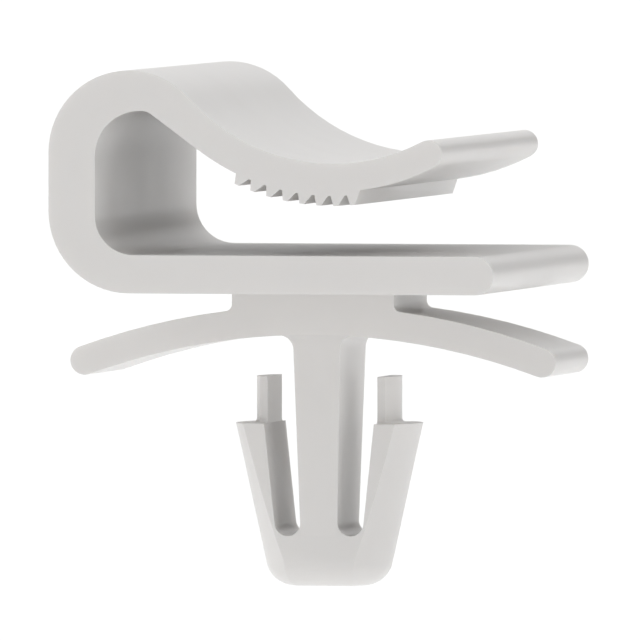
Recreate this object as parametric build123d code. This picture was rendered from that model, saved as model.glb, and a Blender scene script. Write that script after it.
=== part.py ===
# Flat cable clip, moulded in one piece from natural nylon.
# A wide jaw, open on the right, takes a flat cable between its plate and a springy toothed arm.
# Under the plate a short riser carries two curved wings and, on a flat stem, a split arrowhead.
# The arrowhead snaps through a round hole in a panel, and the wings then press on the panel.
# Units are millimetres. X runs across the jaw, Y along its width, and Z up.
# The origin is on the stem's axis, level with the relaxed wing tips, where they touch the panel.

from build123d import *
from math import asin, atan2, cos, degrees, hypot, radians, sin
import os

# Jaw: one strip of constant width, with the plate below, the back wall, and the crown above.
jaw_width = 20.2
plate_height = 3.58
plate_thickness = 1.58
plate_reach = 9.0
back_reach = 9.78
back_wall = 1.96
cavity_height = 5.97
crown_thickness = 1.67
heel_outer_radius = 3.4
heel_inner_radius = 1.63
crown_outer_radius = 3.4

# Arm: it falls from the crown to a trough over the plate, and lifts again to a thinner tip.
# Its underside leaves the cavity's ceiling in a bend, and falls straight until the trough begins.
# The taper is how much thicker it is at the crown than over the trough.
ceiling_flat = 0.07
arm_bend_radius = 0.7
arm_taper = 0.23
arm_thickness = 1.33
trough_offset = 2.21
arm_tip_thickness = 1.16
arm_tip_angle = 27.5
throat = 2.08

# Saw teeth under the trough, with their steep faces towards the back wall.
# Angles are about the trough's centre, from straight down, and positive to the right.
tooth_count = 8
tooth_height = 0.41
tooth_pitch = 0.717
tooth_land = 0.2
tooth_face_run = 0.12
tooth_flank_run = 0.28
first_tooth_angle = -24.6

# Riser and wings, narrower than the jaw and in the middle of its width.
wing_width = 6.9
wing_span = 20.6
wing_rise = 1.71
wing_thickness = 1.21
riser_width = 6.86
riser_fillet = 0.3

# Stem, tapered both ways from the middle of the wings down to the ends of the slots.
stem_root_width = 2.03
stem_root_depth = 5.52
stem_end_width = 1.55
stem_fillet = 0.6

# Arrowhead: a cone with two flats and a rounded end, split by two slots into barbs.
shoulder_drop = 2.03
shoulder_diameter = 7.8
head_length = 6.78
head_end_diameter = 4.84
head_flats = 4.4
head_end_radius = 1.2
barb_gap = 4.66
barb_gap_end = 3.67
slot_floor = 2.11

# Posts on the barbs, with round outer faces that centre the clip in the panel's hole.
post_diameter = 6.06
post_depth = 2.9
post_height = 1.95
post_fillet = 0.2


def polar(centre, radius, angle):
    """Point at a distance from a centre, at an angle in degrees from the +X direction."""
    return centre + Vector(cos(radians(angle)), sin(radians(angle))) * radius


def bearing(start, end):
    """Direction from one point to another, in degrees from the +X direction."""
    return degrees(atan2(end.Y - start.Y, end.X - start.X))


def arc(centre, radius, start, end):
    """Arc about a centre between two directions in degrees, counter-clockwise."""
    return CenterArc(centre, radius, start, end - start)


def slab(section, width):
    """Solid with a section in the XZ plane, centred on the clip's width."""
    return extrude(Plane.XZ * section, amount=width / 2, both=True)


def tooth_line(centre, root_radius, edge_radius, heel_radius):
    """Corners of the saw teeth along the arm's underside, from the first foot to the tip's heel."""
    pitch, land, face, flank = (
        degrees(run / edge_radius) for run in (tooth_pitch, tooth_land, tooth_face_run, tooth_flank_run)
    )
    corners = []
    for tooth in range(tooth_count):
        edge = first_tooth_angle - 90 + tooth * pitch
        corners.append(polar(centre, root_radius, edge - face))
        corners.append(polar(centre, edge_radius, edge))
        corners.append(polar(centre, edge_radius, edge + land))
        corners.append(polar(centre, root_radius, edge + land + flank))
    # The last flank carries on up to the thinner tip.
    corners[-1] = polar(centre, heel_radius, edge + land + flank)
    return corners


def jaw_section():
    """Outline of the jaw, walked from the plate's nose round the inside and back outside."""
    plate_top = plate_height + plate_thickness
    ceiling = plate_top + cavity_height
    top = ceiling + crown_thickness
    wall_x = back_wall - back_reach

    nose_radius = plate_thickness / 2
    nose = Vector(plate_reach - nose_radius, plate_height + nose_radius)
    heel_in = Vector(wall_x + heel_inner_radius, plate_top + heel_inner_radius)
    heel_out = Vector(-back_reach + heel_outer_radius, plate_height + heel_outer_radius)
    crown_out = Vector(-back_reach + crown_outer_radius, top - crown_outer_radius)

    # The trough's arc is tangent to the crown's, and its low point leaves the throat open.
    trough_low = plate_top + throat + tooth_height + arm_thickness
    run = trough_offset - crown_out.X
    drop = crown_out.Y - trough_low
    trough_radius = (run**2 + drop**2 - crown_outer_radius**2) / (2 * (crown_outer_radius + drop))
    trough = Vector(trough_offset, trough_low + trough_radius)
    root_radius = trough_radius + arm_thickness
    heel_radius = trough_radius + arm_tip_thickness

    # The arm's underside runs straight from the crown to the trough, tangent to a circle at each.
    hub_radius = crown_outer_radius - arm_thickness - arm_taper
    lean = degrees(asin((hub_radius + root_radius) / (crown_outer_radius + trough_radius)))
    square = bearing(crown_out, trough) - lean + 90
    run_end = polar(trough, root_radius, square - 180)

    # The bend touches the ceiling and the run, and the back corner takes the rest of the ceiling.
    bend_y = ceiling - arm_bend_radius
    across = hub_radius - arm_bend_radius - (bend_y - crown_out.Y) * sin(radians(square))
    bend = Vector(crown_out.X + across / cos(radians(square)), bend_y)
    run_start = polar(bend, arm_bend_radius, square)
    crown_inner_radius = bend.X - ceiling_flat - wall_x
    crown_in = Vector(bend.X - ceiling_flat, ceiling - crown_inner_radius)

    teeth = tooth_line(trough, root_radius, root_radius + tooth_height, heel_radius)
    tip_radius = arm_tip_thickness / 2
    tip = polar(trough, trough_radius + tip_radius, arm_tip_angle - 90)

    outline = Curve() + [
        arc(nose, nose_radius, -90, 90),
        Line((nose.X, plate_top), (heel_in.X, plate_top)),
        arc(heel_in, heel_inner_radius, 180, 270),
        Line((wall_x, heel_in.Y), (wall_x, crown_in.Y)),
        arc(crown_in, crown_inner_radius, 90, 180),
        Line((crown_in.X, ceiling), (bend.X, ceiling)),
        arc(bend, arm_bend_radius, square, 90),
        Line(run_start, run_end),
        arc(trough, root_radius, square - 180, bearing(trough, teeth[0])),
        Polyline(*teeth),
        arc(trough, heel_radius, bearing(trough, teeth[-1]), arm_tip_angle - 90),
        arc(tip, tip_radius, arm_tip_angle - 90, arm_tip_angle + 90),
        arc(trough, trough_radius, bearing(trough, crown_out), arm_tip_angle - 90),
        arc(crown_out, crown_outer_radius, bearing(crown_out, trough), 180),
        Line((-back_reach, crown_out.Y), (-back_reach, heel_out.Y)),
        arc(heel_out, heel_outer_radius, 180, 270),
        Line((heel_out.X, plate_height), (nose.X, plate_height)),
    ]
    return make_face(outline)


def wing_section():
    """Both wings as one curved bar with round ends, and the riser that joins it to the plate."""
    end_x = (wing_span - wing_thickness) / 2
    end_z = wing_thickness / 2
    crown_z = wing_rise + end_z
    spine = ThreePointArc((-end_x, end_z), (0, crown_z), (end_x, end_z))
    bar = SlotArc(spine, wing_thickness)
    riser_top = plate_height + plate_thickness / 2
    riser = Pos(0, (crown_z + riser_top) / 2) * Rectangle(riser_width, riser_top - crown_z)
    section = bar + riser
    corners = section.vertices().filter_by(lambda v: abs(abs(v.X) - riser_width / 2) < 0.001)
    return fillet(corners.filter_by(lambda v: v.Y < plate_height), riser_fillet)


def trapezoid(low_width, low, high_width, high):
    """Upright symmetric trapezoid between two heights."""
    return make_face(
        Polyline(
            (-low_width / 2, low),
            (low_width / 2, low),
            (high_width / 2, high),
            (-high_width / 2, high),
            close=True,
        )
    )


def slot_section(low, shoulder, high):
    """Slot right of the stem, along the stem's side and the barb's inner side, with a round end."""
    stem_slope = (stem_root_width - stem_end_width) / 2 / (wing_rise + wing_thickness / 2 - low)
    barb_slope = (barb_gap - barb_gap_end) / 2 / (shoulder - low)
    stem_length = hypot(1, stem_slope)
    barb_length = hypot(1, barb_slope)
    stem_x = stem_end_width / 2
    barb_x = barb_gap_end / 2

    # The round end touches both sides and the slot's floor.
    radius = (barb_x - stem_x) / (stem_length + barb_length + stem_slope - barb_slope)
    centre = Vector(stem_x + (stem_slope + stem_length) * radius, low + radius)
    sides = Polyline(
        centre + Vector(1, -barb_slope) * (radius / barb_length),
        (barb_gap / 2, shoulder),
        (barb_gap / 2, high),
        (stem_x + stem_slope * (high - low), high),
        centre - Vector(1, -stem_slope) * (radius / stem_length),
        close=True,
    )
    return make_face(sides) + Pos(centre) * Circle(radius)


def arrowhead(shoulder, end, slot_low):
    """Cone with flats and a rounded end, and posts on its shoulders, split by the two slots."""
    cone = trapezoid(head_end_diameter, end, shoulder_diameter, shoulder)
    cone = fillet(cone.vertices().sort_by(Axis.Y)[:2], head_end_radius)
    right_half = Pos(shoulder_diameter, 0) * Rectangle(2 * shoulder_diameter, 4 * head_length)
    flats = trapezoid(head_flats, end, head_flats, shoulder)
    flats = fillet(flats.vertices().sort_by(Axis.Y)[:2], head_end_radius)
    head = revolve(Plane.XZ * (cone & right_half), Axis.Z)
    head &= extrude(Plane.YZ * flats, amount=shoulder_diameter, both=True)

    upright = (Align.CENTER, Align.CENTER, Align.MIN)
    bar = Cylinder(post_diameter / 2, post_height, align=upright)
    bar &= Box(post_diameter, post_depth, post_height, align=upright)
    head += Pos(0, 0, shoulder) * bar
    feet = (
        head.edges()
        .filter_by_position(Axis.Z, shoulder, shoulder)
        .filter_by_position(Axis.Y, -post_depth / 2, post_depth / 2)
        .filter_by_position(Axis.X, -post_diameter / 2, post_diameter / 2)
    )
    head = fillet(feet, post_fillet)

    slot = slab(slot_section(slot_low, shoulder, shoulder + 2 * post_height), shoulder_diameter)
    return head - slot - Rot(0, 0, 180) * slot


def stem(slot_low):
    """Stem from the ends of the slots up into the middle of the wings, tapered both ways."""
    root = wing_rise + wing_thickness / 2
    front = trapezoid(stem_end_width, slot_low, stem_root_width, root)
    side = trapezoid(head_flats, slot_low, stem_root_depth, root)
    return slab(front, 2 * stem_root_depth) & extrude(Plane.YZ * side, amount=stem_root_width, both=True)


def cable_clip():
    """The whole clip, as the one solid that leaves the mould."""
    shoulder = -shoulder_drop
    end = shoulder - head_length
    slot_low = end + slot_floor
    clip = slab(wing_section(), wing_width) + stem(slot_low)
    roots = (
        clip.edges()
        .filter_by_position(Axis.Z, wing_rise - wing_thickness, wing_rise)
        .filter_by_position(Axis.Y, -stem_root_depth / 2, stem_root_depth / 2)
        .filter_by_position(Axis.X, -stem_root_width / 2, stem_root_width / 2)
    )
    clip = fillet(roots, stem_fillet)
    return clip + arrowhead(shoulder, end, slot_low) + slab(jaw_section(), jaw_width)


os.makedirs("parts", exist_ok=True)
export_step(cable_clip(), "parts/cable_clip.step")
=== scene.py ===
# %% [markdown]
# A flat cable clip in natural nylon.
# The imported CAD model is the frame: it gives the shape, the size and the place of everything here.
# This script gives that shape its finish, a camera at the photograph's angle, a floor and soft light.
# Blender works in metres, so sizes below are written in millimetres and multiplied by MM. Only a
# camera's lens and sensor are plain millimetres, because Blender takes those two as they are.

# %% Load the frame
import math

import bmesh
import bpy
from mathutils import Matrix, Vector


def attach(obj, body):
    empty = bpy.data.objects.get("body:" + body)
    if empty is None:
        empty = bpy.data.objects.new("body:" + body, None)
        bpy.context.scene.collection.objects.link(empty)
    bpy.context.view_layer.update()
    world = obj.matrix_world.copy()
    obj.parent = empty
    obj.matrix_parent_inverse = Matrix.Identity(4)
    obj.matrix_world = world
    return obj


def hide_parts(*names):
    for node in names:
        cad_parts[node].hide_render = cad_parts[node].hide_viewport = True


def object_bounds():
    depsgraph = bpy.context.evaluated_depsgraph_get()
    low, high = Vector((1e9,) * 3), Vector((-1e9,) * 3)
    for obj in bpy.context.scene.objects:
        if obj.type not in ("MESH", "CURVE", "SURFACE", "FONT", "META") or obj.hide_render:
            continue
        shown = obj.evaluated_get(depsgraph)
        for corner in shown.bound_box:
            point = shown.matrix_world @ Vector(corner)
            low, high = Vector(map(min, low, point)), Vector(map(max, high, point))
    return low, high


MM = 0.001
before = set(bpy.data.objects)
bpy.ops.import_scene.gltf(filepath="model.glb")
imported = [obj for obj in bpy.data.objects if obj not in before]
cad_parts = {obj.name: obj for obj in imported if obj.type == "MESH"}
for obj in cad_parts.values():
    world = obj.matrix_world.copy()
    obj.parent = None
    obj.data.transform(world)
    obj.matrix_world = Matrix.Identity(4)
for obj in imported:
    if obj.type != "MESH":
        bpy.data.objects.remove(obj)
cad_low, cad_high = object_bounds()
size_mm = [round(side / MM, 2) for side in cad_high - cad_low]
print("CAD box, mm:", size_mm)

# %% [markdown]
# Two helpers for placing things.
# The camera and the lamps stand around the clip, so their directions are given as a turn from the
# front towards the clip's right and a height above level. Every new object is linked to the scene.

# %% Define the helpers for places
def direction(turn, height):
    """Unit vector from the clip, turned from the front to the right and raised by height."""
    level = math.cos(height)
    return Vector((math.sin(turn) * level, -math.cos(turn) * level, math.sin(height)))


def add_object(name, data):
    """Adds an object with this mesh, camera or lamp at the scene's origin."""
    added = bpy.data.objects.new(name, data)
    bpy.context.scene.collection.objects.link(added)
    return added


# %% [markdown]
# The camera.
# The photograph was taken with a long lens from far away: edges that run backwards stay parallel.
# An orthographic camera draws them so too, but it can't be moved closer like a real one. So this is
# a 1.5 m lens more than a metre away, which flattens the view just as well.
# Its turn and height, and the scale of the picture, were read from the clip's own edges.
# ORIGIN_ACROSS and ORIGIN_DOWN say where the clip's origin lies in the picture, in pixels from its
# top left corner. The camera aims straight at the picture's middle, so it needs no shift.

# %% Place the camera
PICTURE_SIDE = 640
PIXELS_PER_MM = 24.01
ORIGIN_ACROSS = 329.63
ORIGIN_DOWN = 373.65
CAMERA_TURN = math.radians(11.78)
CAMERA_HEIGHT = math.radians(1.65)
LENS = 1565
SENSOR = 36
NEAREST_SEEN = 10 * MM
FARTHEST_SEEN = 20000 * MM

right = Vector((math.cos(CAMERA_TURN), math.sin(CAMERA_TURN), 0))
back = direction(CAMERA_TURN, CAMERA_HEIGHT)
up = back.cross(right)

pixel = MM / PIXELS_PER_MM
half_side = PICTURE_SIDE / 2
view_centre = right * (half_side - ORIGIN_ACROSS) * pixel + up * (ORIGIN_DOWN - half_side) * pixel
distance = PICTURE_SIDE * pixel * LENS / SENSOR

camera_data = bpy.data.cameras.new("camera")
camera_data.sensor_width = SENSOR
camera_data.lens = LENS
camera_data.clip_start = NEAREST_SEEN
camera_data.clip_end = FARTHEST_SEEN

camera = add_object("camera", camera_data)
stand = Matrix.Translation(view_centre + back * distance)
camera.matrix_world = stand @ Matrix((right, up, back)).transposed().to_4x4()
bpy.context.scene.camera = camera
print("camera distance, m:", round(distance, 3))

# %% [markdown]
# Two helpers for materials.
# Colours are written as the hex values seen on a screen, and the shader needs them linear.
# A node is added with its settings and its links in one call.

# %% Define the helpers for materials
def linear(hex_colour):
    """Linear colour of an sRGB hex value such as #D9D5D0, with full opacity."""
    channels = [int(hex_colour[start : start + 2], 16) / 255 for start in (1, 3, 5)]
    turned = [c / 12.92 if c <= 0.04045 else ((c + 0.055) / 1.055) ** 2.4 for c in channels]
    return (*turned, 1)


def add_node(tree, kind, settings=None, **links):
    """Adds a node. Settings are its own values, and links are input values or sockets to read."""
    node = tree.nodes.new(kind)
    for name, value in (settings or {}).items():
        setattr(node, name, value)
    for name, value in links.items():
        socket = node.inputs[name.replace("_", " ")]
        if isinstance(value, bpy.types.NodeSocket):
            tree.links.new(value, socket)
        else:
            socket.default_value = value
    return node


# %% [markdown]
# Natural nylon.
# Nylon 6/6 without pigment is a milky, slightly warm white. Light enters it a little way and comes
# out again, so thin edges and the insides of slots stay soft instead of black. A plain white colour
# would look like chalk there, so the shader lets a share of the light pass below the surface.
# The mould was spark-eroded and then polished, which leaves a satin skin with a very fine grain.
# The grain of such a mould is near 0.03 mm. That is too fine to show, so it is drawn at 0.12 mm.
# The skin is not quite even: the melt cools in faint clouds a few millimetres across, which change
# its colour and its gloss a little. One noise pattern does both, so they change together.

# %% Make the nylon
NYLON_COLOUR = "#DDDBD9"
CLOUD_COLOUR = "#DBD9D7"
CLOUD_SIZE = 4 * MM
GRAIN_SIZE = 0.12 * MM
GRAIN_HEIGHT = 0.0015 * MM
SATIN_ROUGHNESS = 0.32
CLOUD_ROUGHNESS = 0.37
NYLON_IOR = 1.53
MILKY_SHARE = 0.15
MILKY_DEPTH = 0.8 * MM
DEPTH_OF_RED_GREEN_BLUE = (1.0, 0.9, 0.8)


def make_nylon():
    """Satin natural nylon, with faint clouds in its skin and the fine grain of its mould."""
    material = bpy.data.materials.new("natural_nylon_satin")
    material.use_nodes = True
    tree = material.node_tree
    tree.nodes.clear()
    place = add_node(tree, "ShaderNodeTexCoord").outputs["Object"]

    clouds = add_node(
        tree, "ShaderNodeTexNoise", Vector=place, Scale=1 / CLOUD_SIZE, Detail=3.0, Roughness=0.5
    ).outputs["Fac"]
    colour = add_node(tree, "ShaderNodeMix", {"data_type": "RGBA"}, Factor=clouds)
    colour.inputs["A"].default_value = linear(NYLON_COLOUR)
    colour.inputs["B"].default_value = linear(CLOUD_COLOUR)
    sheen = add_node(
        tree,
        "ShaderNodeMapRange",
        Value=clouds,
        From_Min=0.3,
        From_Max=0.7,
        To_Min=SATIN_ROUGHNESS,
        To_Max=CLOUD_ROUGHNESS,
    )

    grain = add_node(
        tree, "ShaderNodeTexNoise", Vector=place, Scale=1 / GRAIN_SIZE, Detail=2.0, Roughness=0.6
    ).outputs["Fac"]
    bump = add_node(tree, "ShaderNodeBump", Height=grain, Distance=GRAIN_HEIGHT, Strength=1.0)

    skin = add_node(
        tree,
        "ShaderNodeBsdfPrincipled",
        Base_Color=colour.outputs["Result"],
        Roughness=sheen.outputs["Result"],
        Normal=bump.outputs["Normal"],
        IOR=NYLON_IOR,
        Subsurface_Weight=MILKY_SHARE,
        Subsurface_Scale=MILKY_DEPTH,
        Subsurface_Radius=DEPTH_OF_RED_GREEN_BLUE,
    )
    add_node(tree, "ShaderNodeOutputMaterial", Surface=skin.outputs["BSDF"])
    return material


nylon = make_nylon()
print("material:", nylon.name)

# %% [markdown]
# The clip itself.
# It is one moulding: jaw, toothed arm, wings, stem and barbs are all in one CAD node. That node has
# the right shape, but it arrives as loose triangles, and loose triangles can't be bevelled or shaded
# smoothly. So the clip is a copy of it whose corners are merged and whose flat faces are made whole.

# %% Merge the clip's triangles
MERGE_DISTANCE = 0.0005 * MM
FLAT = math.radians(0.2)

clip_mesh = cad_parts["cable_clip"].data.copy()
clip_mesh.name = "clip"
shell = bmesh.new()
shell.from_mesh(clip_mesh)
bmesh.ops.remove_doubles(shell, verts=shell.verts, dist=MERGE_DISTANCE)
bmesh.ops.dissolve_limit(
    shell, angle_limit=FLAT, verts=shell.verts, edges=shell.edges, use_dissolve_boundaries=False
)
open_edges = sum(not edge.is_manifold for edge in shell.edges)
print("clip: faces", len(shell.faces), "open edges", open_edges)
shell.to_mesh(clip_mesh)
shell.free()
clip = add_object("clip", clip_mesh)

# %% [markdown]
# The edges.
# The CAD model's edges are knife-sharp. A moulded edge never is: the mould's corners leave a radius
# of a few hundredths of a millimetre, which catches the light. A Bevel modifier rounds every edge
# that turns by more than CREASE, which leaves the facets of the curved faces alone.
# It takes material away only, so no size grows.

# %% Round the clip's edges
EDGE_RADIUS = 0.06 * MM
CREASE = math.radians(32)

clip_mesh.shade_smooth()
clip_mesh.set_sharp_from_angle(angle=CREASE)
clip_mesh.materials.clear()
clip_mesh.materials.append(nylon)

rounding = clip.modifiers.new("edge rounding", "BEVEL")
rounding.width = EDGE_RADIUS
rounding.segments = 2
rounding.limit_method = "ANGLE"
rounding.angle_limit = CREASE
rounding.harden_normals = True

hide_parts("cable_clip")
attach(clip, "root")
print("edge radius, mm:", EDGE_RADIUS / MM)

# %% [markdown]
# The floor.
# The photograph shows the clip against plain white, with no shadow on anything. So the floor is a
# wide opal sheet well below the clip, as on a light table: it glows a little, and the lamps do the
# rest. It is so wide that its edge is never close, whichever side the clip is seen from.

# %% Lay the floor
FLOOR_DROP = 25 * MM
FLOOR_SIDE = 12000 * MM
FLOOR_GLOW = 0.06


def make_opal_sheet():
    """Matt white opal acrylic, lit a little from behind."""
    material = bpy.data.materials.new("opal_acrylic_matt")
    material.use_nodes = True
    shader = material.node_tree.nodes["Principled BSDF"]
    shader.inputs["Base Color"].default_value = linear("#F4F4F4")
    shader.inputs["Roughness"].default_value = 0.9
    shader.inputs["Emission Color"].default_value = linear("#FFFFFF")
    shader.inputs["Emission Strength"].default_value = FLOOR_GLOW
    return material


floor_mesh = bpy.data.meshes.new("floor")
sheet = bmesh.new()
bmesh.ops.create_grid(sheet, x_segments=1, y_segments=1, size=FLOOR_SIDE / 2)
bmesh.ops.translate(sheet, verts=sheet.verts, vec=(0, 0, cad_low.z - FLOOR_DROP))
sheet.to_mesh(floor_mesh)
sheet.free()
floor_mesh.materials.append(make_opal_sheet())
floor = add_object("floor", floor_mesh)
print("floor below the clip, mm:", FLOOR_DROP / MM)

# %% [markdown]
# The world.
# Below the horizon it goes on as white as the floor, so the floor's far edge doesn't show.
# Above the horizon it is a pale wall that fades to black. The clip's level faces reflect that wall
# at a flat angle, which keeps them from going too dark. The lamps do the rest.
# A direction's Z is the sine of its height, and the ramp reads anything below zero as its first stop.

# %% Make the world
WORLD_STOPS = ((0.0, "#FFFFFF"), (0.03, "#B0B0B0"), (0.12, "#B0B0B0"), (0.3, "#000000"))


def make_studio_world():
    """White below the horizon, and a pale wall that fades upwards above it."""
    world = bpy.data.worlds.new("studio")
    world.use_nodes = True
    tree = world.node_tree
    tree.nodes.clear()
    heading = add_node(tree, "ShaderNodeTexCoord").outputs["Generated"]
    sky_height = add_node(tree, "ShaderNodeSeparateXYZ", Vector=heading).outputs["Z"]
    wall = add_node(tree, "ShaderNodeValToRGB", Fac=sky_height)
    stops = wall.color_ramp.elements
    for position, _ in WORLD_STOPS[1:-1]:
        stops.new(position)
    for stop, (position, colour) in zip(stops, WORLD_STOPS):
        stop.position = position
        stop.color = linear(colour)
    glow = add_node(tree, "ShaderNodeBackground", Color=wall.outputs["Color"], Strength=1.0)
    add_node(tree, "ShaderNodeOutputWorld", Surface=glow.outputs["Background"])
    return world


bpy.context.scene.world = make_studio_world()
bpy.context.scene.view_settings.view_transform = "Standard"
print("world stops:", len(WORLD_STOPS))

# %% [markdown]
# The lamps.
# The photograph's light is soft and comes from every side, but not evenly. It is strongest from the
# upper left, the far side of the jaw's pocket stays grey, and nothing throws a hard shadow.
# Area lamps near the clip would be as soft, but would light the floor in patches. So each lamp is a
# Sun lamp with a wide angle, like a very large soft box far away, and it lights clip and floor alike.
# Strengths are shares of full white: a share of 1 makes a white surface that faces the lamp white.

# %% Add the lamps
LAMPS = (
    # name, then in degrees: turn to the right of the front, height, width; then share of full white
    ("upper left", -90, 45, 60, 0.64),
    ("right", 90, 15, 90, 0.25),
    ("upper front", 0, 40, 75, 0.24),
    ("upper rear", 180, 45, 66, 0.29),
    ("top", 0, 90, 60, 0.18),
)

for name, turn, height, width, share in LAMPS:
    towards_lamp = direction(math.radians(turn), math.radians(height))
    lamp_data = bpy.data.lights.new(name, "SUN")
    lamp_data.angle = math.radians(width)
    lamp_data.energy = share * math.pi
    lamp = add_object(name, lamp_data)
    lamp.rotation_mode = "QUATERNION"
    lamp.rotation_quaternion = towards_lamp.to_track_quat("Z", "Y")
print("lamps:", len(LAMPS))
